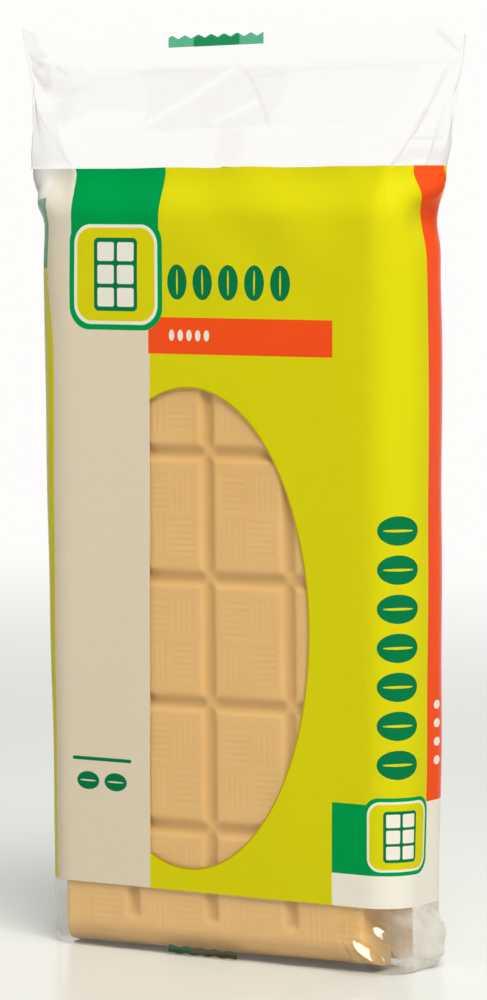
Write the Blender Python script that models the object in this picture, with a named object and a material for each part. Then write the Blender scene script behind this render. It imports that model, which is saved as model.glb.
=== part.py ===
"""A sealed flow-wrap pack of two chocolate tablets, standing on its folded end.

The film is a tube drawn round the tablets. Its body is a block with round upright corners, its
hood closes from the block to a flat seal, and the seal's top edge is cut in a zigzag. The oval
window and the clear foot let the grooves between the tablet's pieces show, so they are relief here.
Width runs along X, depth along Y with the window facing -Y, and the pack stands on z = 0.
"""

import math

import bmesh
import bpy

MM = 0.001

# Body of the pack
BODY_HALF_WIDTH = 53.0 * MM
BODY_HALF_DEPTH = 13.5 * MM
CORNER_RADIUS = 9.0 * MM
BASE_ROUNDING = 1.6 * MM
SHOULDER_Z = 184.0 * MM

# Hood, which closes the block to the flat seal
HOOD_KNEE_Z = 197.0 * MM
HOOD_KNEE_HALF_WIDTH = 60.2 * MM
HOOD_KNEE_HALF_DEPTH = 9.6 * MM
HOOD_KNEE_HALF_PANEL = 42.0 * MM
SEAL_BOTTOM_Z = 219.5 * MM
SEAL_TOP_Z = 231.0 * MM
SEAL_HALF_WIDTH = 64.2 * MM
SEAL_HALF_THICKNESS = 0.6 * MM
SEAL_SKEW = 0.025          # rise of the seal across the pack, as it is cut a little askew

# Zigzag cut along the seal's top edge
TOOTH_PITCH = 3.84 * MM
TOOTH_HEIGHT = 0.95 * MM

# Tablet behind the film
PIECE_WIDTH = 23.6 * MM
PIECE_HEIGHT = 31.5 * MM
TABLET_CENTRE_X = -1.5 * MM
FIRST_GROOVE_Z = 31.4 * MM
GROOVE_COUNT_Z = 4
GROOVE_HALF_WIDTH = 2.0 * MM
GROOVE_DEPTH = 2.2 * MM
LEVEL_GROOVE_DEPTH = 2.0 * MM
GROOVE_FOOT_Z = 8.2 * MM

# Oval window in the printed sleeve, cut straight at its left by the pale band
WINDOW_CENTRE_X = -7.8 * MM
WINDOW_CENTRE_Z = 81.8 * MM
WINDOW_HALF_WIDTH = 35.2 * MM
WINDOW_HALF_HEIGHT = 60.4 * MM
WINDOW_LEFT_X = -19.4 * MM
WINDOW_RECESS = 0.7 * MM
SLEEVE_BOTTOM_Z = 15.5 * MM

# Points round one quarter of a section
PANEL_STEPS = 5
CORNER_STEPS = 6
SIDE_STEPS = 2
WINDOW_STEPS = 40


def clear_scene():
    """Remove every object of the scene."""
    for item in list(bpy.data.objects):
        bpy.data.objects.remove(item, do_unlink=True)


def mix(low, high, share):
    """Value that lies the given share of the way from low to high."""
    return low + (high - low) * share


def block_quarter(half_width, half_depth, radius):
    """Front right quarter of the body's section, from the middle of the front to the middle of
    the side: a straight panel, a quarter circle, and half of the straight side."""
    panel = half_width - radius
    side = half_depth - radius
    points = [(panel * i / PANEL_STEPS, -half_depth) for i in range(PANEL_STEPS + 1)]
    for i in range(1, CORNER_STEPS + 1):
        turn = 0.5 * math.pi * i / CORNER_STEPS
        points.append((panel + radius * math.sin(turn), -side - radius * math.cos(turn)))
    points += [(half_width, -side * (1 - i / SIDE_STEPS)) for i in range(1, SIDE_STEPS + 1)]
    return points


def hood_quarter(half_width, half_depth, half_panel):
    """Front right quarter of the hood's section: a straight panel, then a straight wing that
    runs out to the sharp side edge at mid depth."""
    points = [(half_panel * i / PANEL_STEPS, -half_depth) for i in range(PANEL_STEPS + 1)]
    wing_steps = CORNER_STEPS + SIDE_STEPS
    for i in range(1, wing_steps + 1):
        share = i / wing_steps
        points.append((mix(half_panel, half_width, share), -half_depth * (1 - share)))
    return points


def full_section(quarter):
    """Whole section from its front right quarter, mirrored over both middle planes, anticlockwise
    seen from above."""
    right = quarter + [(x, -y) for x, y in reversed(quarter[:-1])]
    left = [(-x, y) for x, y in reversed(right[1:-1])]
    return right + left


def section_rows():
    """Rows of the loft from the base to the top edge, each a height and a section."""
    rows = []
    for turn in (0.0, 0.25, 0.5, 0.75, 1.0):
        inset = BASE_ROUNDING * (1 - math.sin(0.5 * math.pi * turn))
        height = BASE_ROUNDING * (1 - math.cos(0.5 * math.pi * turn))
        quarter = block_quarter(BODY_HALF_WIDTH - inset, BODY_HALF_DEPTH - inset, CORNER_RADIUS - inset)
        rows.append((height, quarter))
    body = block_quarter(BODY_HALF_WIDTH, BODY_HALF_DEPTH, CORNER_RADIUS)
    rows.append((SHOULDER_Z, body))
    knee = hood_quarter(HOOD_KNEE_HALF_WIDTH, HOOD_KNEE_HALF_DEPTH, HOOD_KNEE_HALF_PANEL)
    for share in (0.2, 0.4, 0.6, 0.8, 1.0):
        ease = share * share * (3 - 2 * share)
        blend = [(mix(a[0], b[0], ease), mix(a[1], b[1], ease)) for a, b in zip(body, knee)]
        rows.append((mix(SHOULDER_Z, HOOD_KNEE_Z, share), blend))
    seal = hood_quarter(SEAL_HALF_WIDTH, SEAL_HALF_THICKNESS, SEAL_HALF_WIDTH - SEAL_HALF_THICKNESS)
    for share in (0.25, 0.5, 0.75, 1.0):
        blend = [(mix(a[0], b[0], share), mix(a[1], b[1], share)) for a, b in zip(knee, seal)]
        rows.append((mix(HOOD_KNEE_Z, SEAL_BOTTOM_Z, share), blend))
    rows.append((SEAL_TOP_Z, seal))
    return rows


def new_object(name, mesh_builder):
    """Object whose mesh is filled by mesh_builder, with its faces turned outwards."""
    grid = bmesh.new()
    mesh_builder(grid)
    bmesh.ops.recalc_face_normals(grid, faces=grid.faces)
    mesh = bpy.data.meshes.new(name)
    grid.to_mesh(mesh)
    grid.free()
    item = bpy.data.objects.new(name, mesh)
    bpy.context.scene.collection.objects.link(item)
    return item


def build_shell(grid):
    """Loft the section rows into one closed skin, the hood's rows sheared by the seal's skew."""
    rings = []
    for height, quarter in section_rows():
        lift = max(0.0, height - SHOULDER_Z) / (SEAL_TOP_Z - SHOULDER_Z)
        ring = [grid.verts.new((x, y, height + lift * SEAL_SKEW * x)) for x, y in full_section(quarter)]
        rings.append(ring)
    for lower, upper in zip(rings, rings[1:]):
        for i in range(len(lower)):
            j = (i + 1) % len(lower)
            grid.faces.new((lower[i], lower[j], upper[j], upper[i]))
    grid.faces.new(list(reversed(rings[0])))
    grid.faces.new(rings[-1])


def prism(outline, start, end, along):
    """Builder of a prism: the outline of (x, z) or (y, z) or (x, y) pairs is swept along the named
    axis from start to end."""
    place = {
        "X": lambda a, b, c: (c, a, b),
        "Y": lambda a, b, c: (a, c, b),
        "Z": lambda a, b, c: (a, b, c),
    }[along]

    def build(grid):
        near = [grid.verts.new(place(a, b, start)) for a, b in outline]
        far = [grid.verts.new(place(a, b, end)) for a, b in outline]
        grid.faces.new(near)
        grid.faces.new(list(reversed(far)))
        for i in range(len(outline)):
            j = (i + 1) % len(outline)
            grid.faces.new((near[i], far[i], far[j], near[j]))

    return build


def as_cutter(item):
    """Keep a cutter out of the model."""
    item.hide_render = True
    item.display_type = "WIRE"
    return item


def combine(target, other, operation, solver="EXACT"):
    """Boolean of the target with the other object."""
    modifier = target.modifiers.new(operation.title(), "BOOLEAN")
    modifier.operation = operation
    modifier.object = other
    modifier.solver = solver


def window_outline():
    """Oval arc from where the pale band cuts it at the top, round the right, to the bottom cut."""
    cut = math.acos((WINDOW_LEFT_X - WINDOW_CENTRE_X) / WINDOW_HALF_WIDTH)
    points = []
    for i in range(WINDOW_STEPS + 1):
        turn = mix(cut, -cut, i / WINDOW_STEPS)
        x = WINDOW_CENTRE_X + WINDOW_HALF_WIDTH * math.cos(turn)
        z = WINDOW_CENTRE_Z + WINDOW_HALF_HEIGHT * math.sin(turn)
        points.append((x, z))
    return points


def window_cutter(name, depth):
    """Prism over the window that reaches the given depth into the front face."""
    start = -BODY_HALF_DEPTH - 10 * MM
    return as_cutter(new_object(name, prism(window_outline(), start, -BODY_HALF_DEPTH + depth, "Y")))


def groove_profile(centre, face_y, depth=GROOVE_DEPTH):
    """V of a groove as (across, depth) pairs, widened in front of the face so that it cuts clean."""
    front = 1.2 * depth
    spread = GROOVE_HALF_WIDTH * (1 + front / depth)
    return [
        (centre - spread, face_y - front),
        (centre + spread, face_y - front),
        (centre, face_y + depth),
    ]


def window_grooves():
    """Groove cutters behind the window, two upright and four level, each kept to the oval."""
    face_y = -BODY_HALF_DEPTH + WINDOW_RECESS
    limit = window_cutter("window_limit", WINDOW_RECESS + 2 * GROOVE_DEPTH)
    cutters = []
    for column in range(2):
        centre = TABLET_CENTRE_X + column * PIECE_WIDTH
        build = prism(groove_profile(centre, face_y), SLEEVE_BOTTOM_Z, SHOULDER_Z, "Z")
        cutters.append(new_object(f"groove_upright_{column}", build))
    for row in range(GROOVE_COUNT_Z):
        centre = FIRST_GROOVE_Z + row * PIECE_HEIGHT
        profile = groove_profile(centre, face_y, LEVEL_GROOVE_DEPTH)
        outline = [(depth, height) for height, depth in profile]
        build = prism(outline, -BODY_HALF_WIDTH, BODY_HALF_WIDTH, "X")
        cutters.append(new_object(f"groove_level_{row}", build))
    for cutter in cutters:
        as_cutter(cutter)
        combine(cutter, limit, "INTERSECT")
    return cutters


def foot_grooves():
    """Lower ends of the three upright grooves, which show through the clear foot."""
    cutters = []
    for column in (-1, 0, 1):
        centre = TABLET_CENTRE_X + column * PIECE_WIDTH
        build = prism(groove_profile(centre, -BODY_HALF_DEPTH), GROOVE_FOOT_Z, SLEEVE_BOTTOM_Z, "Z")
        cutters.append(as_cutter(new_object(f"groove_foot_{column + 1}", build)))
    return cutters


def zigzag_cutter():
    """Prism above the seal whose underside is the zigzag of the cut edge."""
    reach = SEAL_HALF_WIDTH + 2 * TOOTH_PITCH
    count = int(2 * reach / TOOTH_PITCH) * 2
    outline = []
    for i in range(count + 1):
        x = -reach + i * TOOTH_PITCH / 2
        dip = TOOTH_HEIGHT if i % 2 else 0.05 * MM
        outline.append((x, SEAL_TOP_Z + SEAL_SKEW * x - dip))
    outline.append((outline[-1][0], SEAL_TOP_Z + 20 * MM))
    outline.append((outline[0][0], SEAL_TOP_Z + 20 * MM))
    return as_cutter(new_object("zigzag", prism(outline, -5 * MM, 5 * MM, "Y")))


def film_material():
    """Printed film, yellow-green and glossy."""
    material = bpy.data.materials.new("pack_film")
    material.use_nodes = True
    shader = material.node_tree.nodes["Principled BSDF"]
    shader.inputs["Base Color"].default_value = (0.58, 0.51, 0.01, 1)
    shader.inputs["Roughness"].default_value = 0.3
    shader.inputs["Metallic"].default_value = 0.0
    return material


def build_pack():
    """The pack: lofted skin less the window's recess, the grooves and the zigzag."""
    pack = new_object("pack", build_shell)
    combine(pack, window_cutter("window", WINDOW_RECESS), "DIFFERENCE")
    for cutter in window_grooves() + foot_grooves() + [zigzag_cutter()]:
        combine(pack, cutter, "DIFFERENCE", "MANIFOLD")
    pack.data.materials.append(film_material())
    pack.data.shade_smooth()
    pack.data.set_sharp_from_angle(angle=math.radians(30))
    return pack


clear_scene()
build_pack()
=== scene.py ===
import math

import bpy
import numpy as np
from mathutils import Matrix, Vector, geometry


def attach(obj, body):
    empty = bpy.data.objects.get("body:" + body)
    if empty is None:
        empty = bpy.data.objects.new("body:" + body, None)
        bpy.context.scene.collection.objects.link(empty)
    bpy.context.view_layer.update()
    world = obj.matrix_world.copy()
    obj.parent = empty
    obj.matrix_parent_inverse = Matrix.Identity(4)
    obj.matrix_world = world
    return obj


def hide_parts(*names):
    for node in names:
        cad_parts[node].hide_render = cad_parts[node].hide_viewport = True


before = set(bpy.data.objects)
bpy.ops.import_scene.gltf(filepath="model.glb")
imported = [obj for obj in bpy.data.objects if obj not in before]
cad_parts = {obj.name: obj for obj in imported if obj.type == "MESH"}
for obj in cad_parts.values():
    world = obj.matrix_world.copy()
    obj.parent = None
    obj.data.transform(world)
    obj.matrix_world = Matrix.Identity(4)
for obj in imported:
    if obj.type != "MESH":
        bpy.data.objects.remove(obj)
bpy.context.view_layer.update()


# The front tablet.
# 200 g of white chocolate, cast face down in a mould: 4 by 6 pieces with V grooves between them and
# a basketwork of fine lines on each piece. It stands on its short end behind the film's window.

MM = 0.001
PIECE_WIDTH = 23.6
PIECE_HEIGHT = 31.5
COLUMNS = 4
ROWS = 6
SIDE_MARGIN = 3.2             # what the outer pieces lack in width against the inner ones
END_MARGIN = 4.6              # and what they lack in height
TABLET_THICKNESS = 10.6
SIDE_DRAFT = 2.0              # how much wider the tablet is at its back than at its face
END_DRAFT = 5.3               # and how much longer at each end
WALL_DEPTHS = (0.8, 2.3, 4.2, 6.4, TABLET_THICKNESS)      # the wall's rings, from the face back
WALL_DRAFTS = (0.2, 0.5, 0.8, 0.94, 1.0)                  # and their shares of the draft
TABLET_X = -1.3
TABLET_LEAN = 0.012            # slope of the tilt to the left
TABLET_BOTTOM_Z = 0.6
FRONT_FACE_Y = -12.85
GROOVE_HALF_WIDTH = 2.6
GROOVE_DEPTH = 1.15
GROOVE_END_FADE = (2.2, 4.6)  # from the face's edge: where a groove is closed and where it is open
CROSSING_FADE = (0.3, 2.8)    # from a crossing: where a groove is half and where it is full
FACE_EDGE_WIDTH = 0.9         # of the face's rounded edge
FACE_EDGE_DROP = 0.35
LINE_DEPTH = 0.16
LINE_FIELD = (0.9, 7.9, 10.8)  # the basketwork's start, half width and half height in a piece
CELLS_ACROSS = 44             # grid cells of a piece; a moulded line repeats every third
CELLS_UP = 60
WALL_PAINTED_SHADE = 0.5       # painted shade: the wall as deep in colour as a half open groove
CHOCOLATE_HEX = "#F7CE8A"
CHOCOLATE_DEEP_HEX = "#F1C277"
# Colour of the painted shade in the grooves' and walls' recesses.
GROOVE_SHADE_HEX = "#E2B56D"


def linear(code):
    """Linear colour, with alpha 1, of an sRGB hex value: (c + 0.055) / 1.055 to the power 2.4."""
    channels = [int(code[i:i + 2], 16) / 255 for i in (1, 3, 5)]
    return [c / 12.92 if c <= 0.04045 else ((c + 0.055) / 1.055) ** 2.4 for c in channels] + [1.0]


def add_node(tree, kind, links=None, **settings):
    """Add a node, give it its settings, and fill its inputs by value or from another socket."""
    node = tree.nodes.new(kind)
    for key, value in settings.items():
        setattr(node, key, value)
    for key, value in (links or {}).items():
        socket = node.inputs[key]
        if isinstance(value, bpy.types.NodeSocket):
            tree.links.new(value, socket)
        else:
            socket.default_value = value
    return node


def new_material(name):
    """Empty material with its output node, as (material, tree, output)."""
    material = bpy.data.materials.new(name)
    material.use_nodes = True
    tree = material.node_tree
    tree.nodes.clear()
    return material, tree, add_node(tree, "ShaderNodeOutputMaterial")


def smooth(low, high, value):
    """0 below low, 1 above high, and 3t^2 - 2t^3 of the share t of the way between."""
    share = np.clip((value - low) / (high - low), 0, 1)
    return share * share * (3 - 2 * share)


def make_piece(name, vertices, faces, material):
    """Mesh object from points in mm and a list or array of faces, smooth but for its free edges, so
    that a film's cut edge doesn't shade the film beside it. It rides on the root, and with the
    others it takes the place of the pack's solid."""
    mesh = bpy.data.meshes.new(name)
    mesh.from_pydata((np.asarray(vertices) * MM).tolist(), [], [list(face) for face in faces])
    mesh.shade_smooth()
    mesh.materials.append(material)
    edge_of_corner = np.zeros(len(mesh.loops), dtype=np.int32)
    mesh.loops.foreach_get("edge_index", edge_of_corner)
    free_edges = np.bincount(edge_of_corner, minlength=len(mesh.edges)) == 1
    mesh.edges.foreach_set("use_edge_sharp", free_edges)
    piece = bpy.data.objects.new(name, mesh)
    bpy.context.scene.collection.objects.link(piece)
    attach(piece, "root")
    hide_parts("pack")
    return piece


def grid_faces(rows, columns, wrap=False):
    """Quads of a grid whose points run along each row; wrap joins each row's end to its start."""
    index = np.arange(rows * columns).reshape(rows, columns)
    if wrap:
        index = np.hstack([index, index[:, :1]])
    corners = (index[:-1, :-1], index[:-1, 1:], index[1:, 1:], index[1:, :-1])
    return np.stack(corners, axis=-1).reshape(-1, 4)


def white_chocolate():
    """White chocolate as cast: ivory cocoa butter and milk with light scattering under the surface, a
    satin skin from the polished mould, faint clouds of paler fat, and fine pits. The grooves and the
    walls get a painted shade, a deeper colour mixed in by the share of their depth that is noted on
    the tablet."""
    material, tree, output = new_material("white_chocolate_cast")
    place = add_node(tree, "ShaderNodeTexCoord").outputs["Object"]
    clouds = add_node(tree, "ShaderNodeTexNoise", {"Vector": place, "Scale": 90.0, "Detail": 3.0})
    shade = add_node(
        tree, "ShaderNodeMix",
        {"Factor": clouds.outputs["Fac"], "A": linear(CHOCOLATE_DEEP_HEX), "B": linear(CHOCOLATE_HEX)},
        data_type="RGBA",
    )
    painted_recess_shade = add_node(tree, "ShaderNodeAttribute", attribute_name="painted_recess_share").outputs["Fac"]
    body = add_node(
        tree, "ShaderNodeMix",
        {"Factor": painted_recess_shade, "A": shade.outputs["Result"], "B": linear(GROOVE_SHADE_HEX)}, data_type="RGBA")
    pits = add_node(tree, "ShaderNodeTexNoise", {"Vector": place, "Scale": 900.0, "Detail": 2.0})
    relief = add_node(
        tree, "ShaderNodeBump", {"Height": pits.outputs["Fac"], "Strength": 0.12, "Distance": 0.0002}
    )
    gloss = add_node(
        tree, "ShaderNodeMapRange",
        {"Value": clouds.outputs["Fac"], "To Min": 0.38, "To Max": 0.52},
    )
    surface = add_node(
        tree, "ShaderNodeBsdfPrincipled",
        {"Base Color": body.outputs["Result"], "Roughness": gloss.outputs["Result"],
         "Normal": relief.outputs["Normal"], "Subsurface Weight": 0.5, "Subsurface Scale": 0.0018,
         "Subsurface Radius": (1.0, 0.85, 0.6), "IOR": 1.46},
    )
    tree.links.new(surface.outputs["BSDF"], output.inputs["Surface"])
    return material


def cell_edges(pitch, count, cells, half_face):
    """Grid coordinates across a face: even cells in each piece, less those outside the face, with
    the face's own edges added."""
    reach = pitch * count / 2
    even = np.linspace(-reach, reach, cells * count + 1)
    inner = even[np.abs(even) < half_face - 0.2]
    return np.concatenate([[-half_face], inner, [half_face]])


def groove(across, along_fade):
    """Depth of a V groove with rounded foot and lips: the S curve of the share that is left of the
    half width, times how far the groove is open there."""
    share = np.clip(1 - np.sqrt(across ** 2 + 0.04) / GROOVE_HALF_WIDTH, 0, 1)
    return GROOVE_DEPTH * smooth(0, 0.85, share) * along_fade


def nearest_line(value, pitch, count):
    """Signed distance to the nearest groove of an even set, which leaves out the face's edges."""
    last = (count - 2) / 2
    line = np.round(value / pitch + count / 2) - count / 2
    return value - np.clip(line, -last, last) * pitch


def moulded_relief(x, z, half_x, half_z):
    """Depth below the face in mm at each point: the deeper of the upright and the level groove, each
    half closed at a crossing and closed at the face's edge, plus the lines of the basketwork."""
    to_upright = nearest_line(x, PIECE_WIDTH, COLUMNS)
    to_level = nearest_line(z, PIECE_HEIGHT, ROWS)
    upright_open = smooth(*GROOVE_END_FADE, half_z - np.abs(z))
    upright_open = upright_open * (0.5 + 0.5 * smooth(*CROSSING_FADE, np.abs(to_level)))
    level_open = smooth(*GROOVE_END_FADE, half_x - np.abs(x))
    level_open = level_open * (0.5 + 0.5 * smooth(*CROSSING_FADE, np.abs(to_upright)))
    depth = np.maximum(groove(to_upright, upright_open), groove(to_level, level_open))
    local_x = (x + PIECE_WIDTH * COLUMNS / 2) % PIECE_WIDTH - PIECE_WIDTH / 2
    local_z = (z + PIECE_HEIGHT * ROWS / 2) % PIECE_HEIGHT - PIECE_HEIGHT / 2
    cell_x = np.round(local_x / (PIECE_WIDTH / CELLS_ACROSS))
    cell_z = np.round(local_z / (PIECE_HEIGHT / CELLS_UP))
    level_block = (local_x < 0) == (local_z > 0)
    start, end_x, end_z = LINE_FIELD
    in_x = (np.abs(local_x) > start) & (np.abs(local_x) < end_x)
    in_z = (np.abs(local_z) > start) & (np.abs(local_z) < end_z)
    lines = np.where(level_block, cell_z % 3 == 0, cell_x % 3 == 0)
    return depth + LINE_DEPTH * (lines & in_x & in_z)


def build_tablet(name, face_y, material, coarse=1):
    """Closed tablet: the face's grid with its relief, rings that flare to the back edge, and a flat
    back. It is turned by the lean: x less z times the slope, and z more x times the slope."""
    half_x = PIECE_WIDTH * COLUMNS / 2 - SIDE_MARGIN
    half_z = PIECE_HEIGHT * ROWS / 2 - END_MARGIN
    x_lines = cell_edges(PIECE_WIDTH, COLUMNS, CELLS_ACROSS // coarse, half_x)
    z_lines = cell_edges(PIECE_HEIGHT, ROWS, CELLS_UP // coarse, half_z)
    x, z = np.meshgrid(x_lines, z_lines)
    y = moulded_relief(x, z, half_x, half_z)
    # Painted shade: each point's share of the groove depth, which deepens its colour; the wall rings
    # get a fixed share.
    painted_recess_shade = np.clip(y / GROOVE_DEPTH, 0, 1) * (y > 1.2 * LINE_DEPTH)
    edge = np.minimum(half_x - np.abs(x), half_z - np.abs(z))
    y += FACE_EDGE_DROP * (1 - smooth(0, FACE_EDGE_WIDTH, edge))
    for depth, share in zip(WALL_DEPTHS, WALL_DRAFTS):
        ring_x = half_x + SIDE_DRAFT * share
        ring_z = half_z + END_DRAFT * share
        x = np.pad(x, 1, mode="edge")
        z = np.pad(z, 1, mode="edge")
        x[:, 0] = -ring_x
        x[:, -1] = ring_x
        z[0, :] = -ring_z
        z[-1, :] = ring_z
        y = np.pad(y, 1, constant_values=depth)
        painted_recess_shade = np.pad(painted_recess_shade, 1, constant_values=WALL_PAINTED_SHADE)
    centre_z = TABLET_BOTTOM_Z + END_DRAFT + half_z
    leaning_x = x + TABLET_X - TABLET_LEAN * (z + half_z)
    leaning_z = z + centre_z + TABLET_LEAN * x
    points = np.stack([leaning_x, y + face_y, leaning_z], axis=-1)
    rows, columns = x.shape
    faces = grid_faces(rows, columns).tolist()
    index = np.arange(rows * columns).reshape(rows, columns)
    rim = np.concatenate([index[0, :], index[1:, -1], index[-1, -2::-1], index[-2:0:-1, 0]])
    faces.append(rim[::-1].tolist())
    piece = make_piece(name, points.reshape(-1, 3), faces, material)
    piece.data.set_sharp_from_angle(angle=math.radians(50))
    layer = piece.data.attributes.new("painted_recess_share", "FLOAT", "POINT")
    layer.data.foreach_set("value", painted_recess_shade.ravel().astype(np.float32))


chocolate = white_chocolate()
build_tablet("front_tablet", FRONT_FACE_Y, chocolate)


# The back tablet.
# The second 200 g tablet of the pack lies behind the first, moulded face forward too. It is cast in
# the same mould, but only its edge shows, at the clear foot, so its grid is half as fine.

TABLET_GAP = 0.15

build_tablet("back_tablet", FRONT_FACE_Y + TABLET_THICKNESS + TABLET_GAP, chocolate, coarse=2)


# The printed sleeve and the window.
# Biaxially drawn polypropylene film, folded round the tablets as a tube with a seam up the back and
# printed on its inside. The print stops at the oval window, at the foot and at the hood.

BODY_HALF_WIDTH = 53.0
BODY_HALF_DEPTH = 13.5
CORNER_RADIUS = 9.0
BASE_ROUNDING = 1.6
BASE_RISE = 1.1               # how much taller than wide the base's rounding is
SHOULDER_Z = 184.0
KNEE_Z = 197.0
SEAL_Z = 221.8
TOP_Z = 231.0
KNEE_PANELS = (44.7, 46.5)    # half the front panel at the knee, to the left and to the right
KNEE_HALF_WIDTHS = (64.6, 58.8)
KNEE_HALF_DEPTH = 9.6
SEAL_HALF_WIDTHS = (64.0, 62.7)
SEAL_GAP = 0.12
SEAL_EDGE = 1.0               # of each side of the seal is left to the folded side
SEAL_SKEW = 0.025             # slope of the seal, up to the right
CURL_HEIGHTS = (216, 231)     # where the seal's corners begin to curl and where they end
SLEEVE_BOTTOM_Z = 15.5
SLEEVE_TOP_Z = 197.3
PANEL = BODY_HALF_WIDTH - CORNER_RADIUS
ARC = 0.5 * math.pi * CORNER_RADIUS
QUARTER = PANEL + ARC + BODY_HALF_DEPTH - CORNER_RADIUS
HALF_GIRTH = 2 * QUARTER


def block_point(t):
    """Section of the body at arc length t from the middle of the front towards the side: straight
    panel, quarter circle, straight side. Gives x and y for the right half."""
    turn = np.clip((t - PANEL) / CORNER_RADIUS, 0, 0.5 * math.pi)
    x = np.minimum(t, PANEL) + CORNER_RADIUS * np.sin(turn)
    y = -(BODY_HALF_DEPTH - CORNER_RADIUS) - CORNER_RADIUS * np.cos(turn)
    return x, y + np.maximum(t - PANEL - ARC, 0)


def hood_point(t, half_width, half_depth, half_panel):
    """Section of the hood: the front panel's arc length is spread over its new width, and the rest
    runs straight out to the sharp side edge at mid depth."""
    wing = np.clip((t - PANEL) / (QUARTER - PANEL), 0, 1)
    x = np.where(t < PANEL, t * half_panel / PANEL, half_panel + (half_width - half_panel) * wing)
    return x, -half_depth * (1 - wing)


def tube(s, h):
    """Place of the film at arc length s round the tube, 0 at the middle of the front and growing to
    +X, and at height h. Above the shoulder the body's section blends to the knee's and that one
    to the seal's, whose corners curl, and below 0 the section folds flat under the base."""
    around = np.abs(s)
    t = np.where(around > QUARTER, HALF_GIRTH - around, around)
    back = np.where(around > QUARTER, -1.0, 1.0)
    side = np.where(s < 0, -1.0, 1.0)
    block_x, block_y = block_point(t)
    right = (side > 0).astype(int)
    knee_x, knee_y = hood_point(
        t, np.take(KNEE_HALF_WIDTHS, right), KNEE_HALF_DEPTH, np.take(KNEE_PANELS, right))
    seal_width = np.take(SEAL_HALF_WIDTHS, right)
    seal_x, seal_y = hood_point(t, seal_width, SEAL_GAP, seal_width - SEAL_EDGE)
    to_knee = smooth(SHOULDER_Z + 1, KNEE_Z, h)
    rise = np.clip((h - KNEE_Z) / (SEAL_Z - KNEE_Z), 0, 1)
    x = block_x + (knee_x - block_x) * to_knee
    y = block_y + (knee_y - block_y) * to_knee
    x = x + (seal_x - knee_x) * rise ** 0.8
    y = np.where(rise > 0, seal_y + (knee_y - seal_y) * (1 - rise) ** 1.7, y)
    tuck = 0.5 * math.pi * np.clip(1 - h / BASE_ROUNDING, 0, 1)
    inset = BASE_ROUNDING * (1 - np.cos(tuck))
    z = np.where(h < BASE_ROUNDING, (BASE_ROUNDING + BASE_RISE) * (1 - np.sin(tuck)), h + BASE_RISE)
    x = x * (1 - inset / BODY_HALF_WIDTH)
    y = y * (1 - inset / BODY_HALF_DEPTH) * np.clip(1 + h / BODY_HALF_DEPTH, 0, 1)
    lift = np.clip((h - SHOULDER_Z) / (TOP_Z - SHOULDER_Z), 0, 1.2)
    x = x * side
    left_curl = smooth(48, 64, -x) * smooth(*CURL_HEIGHTS, h)
    right_curl = smooth(54, 64, x) * smooth(*CURL_HEIGHTS, h)
    y = y * back - 4.8 * left_curl + 2.0 * right_curl
    z = z + lift * SEAL_SKEW * x + 3.6 * left_curl - 2.5 * right_curl
    return np.stack([x, y, z], axis=-1)


def outward(s, h):
    """Unit normal of the tube, the cross product of its two slopes."""
    step = 0.05
    along_s = tube(s + step, h) - tube(s - step, h)
    along_h = tube(s, h + step) - tube(s, h - step)
    normal = np.cross(along_s, along_h)
    return normal / np.maximum(np.linalg.norm(normal, axis=-1, keepdims=True), 1e-9)


def waves(s, h, length, seed):
    """Soft rumple between about -1 and 1: five sine waves of near the given length, each in a
    direction and with a phase drawn from the seed."""
    draw = np.random.default_rng(seed)
    total = np.zeros_like(s, dtype=float)
    for _ in range(5):
        turn, phase = draw.uniform(0, 2 * math.pi, 2)
        size = length * draw.uniform(0.75, 1.4)
        total += np.sin(2 * math.pi * (s * math.cos(turn) + h * math.sin(turn)) / size + phase)
    return total / 2.5


def facets(s, h, cell, seed):
    """Crumple of flat facets with sharp creases, between -1 and 1: random heights on a lattice, each
    cell of which is two flat triangles, one at its low corner and one at its high corner."""
    table = np.random.default_rng(seed).uniform(-1, 1, (64, 64))
    column = np.floor(s / cell).astype(int)
    row = np.floor(h / cell).astype(int)
    f = s / cell - column
    g = h / cell - row
    low = table[column % 64, row % 64]
    right = table[(column + 1) % 64, row % 64]
    above = table[column % 64, (row + 1) % 64]
    high = table[(column + 1) % 64, (row + 1) % 64]
    lower = low + (right - low) * f + (above - low) * g
    upper = high + (above - high) * (1 - f) + (right - high) * (1 - g)
    return np.where(f + g < 1, lower, upper)


def between(low, full, fade, gone, value):
    """0 up to low, 1 from full to fade and 0 again from gone, with smooth steps."""
    return smooth(low, full, value) * (1 - smooth(fade, gone, value))


def bump(centre, width, value):
    """exp(-d^2), with d the distance to the centre in widths."""
    return np.exp(-((value - centre) / width) ** 2)


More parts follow.
